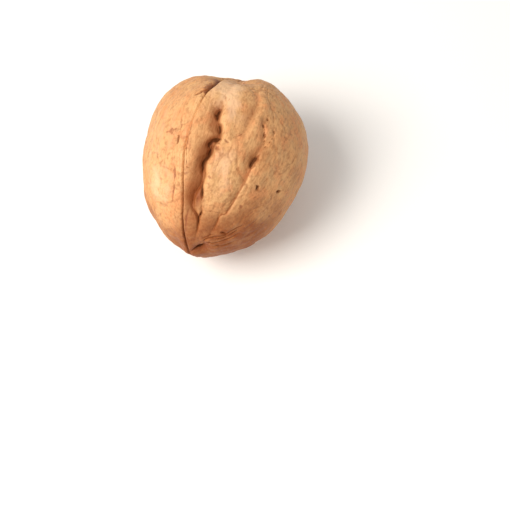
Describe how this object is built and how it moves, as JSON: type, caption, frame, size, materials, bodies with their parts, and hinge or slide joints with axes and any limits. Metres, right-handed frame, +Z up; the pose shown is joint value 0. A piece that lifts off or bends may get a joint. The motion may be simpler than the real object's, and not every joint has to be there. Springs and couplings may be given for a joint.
{
  "type": "walnut in shell",
  "caption": "Whole closed walnut in its furrowed tan shell, lying on its side on a small flat, with a lengthwise suture ridge and a pointed end.",
  "frame": {"origin": "middle of the nut's box in plan, on the surface that it lies on", "axes": "+Z up from the surface, -Y towards the nut's pointed end, +X across the nut, with the upper suture a little to the -X side"},
  "size_m": [0.0377, 0.0434, 0.0374],
  "materials": {
    "walnut_shell": "dry satin-matte shell, tan with darker brown furrows and pits"
  },
  "bodies": {
    "root": {"walnut": "walnut_shell"}
  },
  "joints": []
}
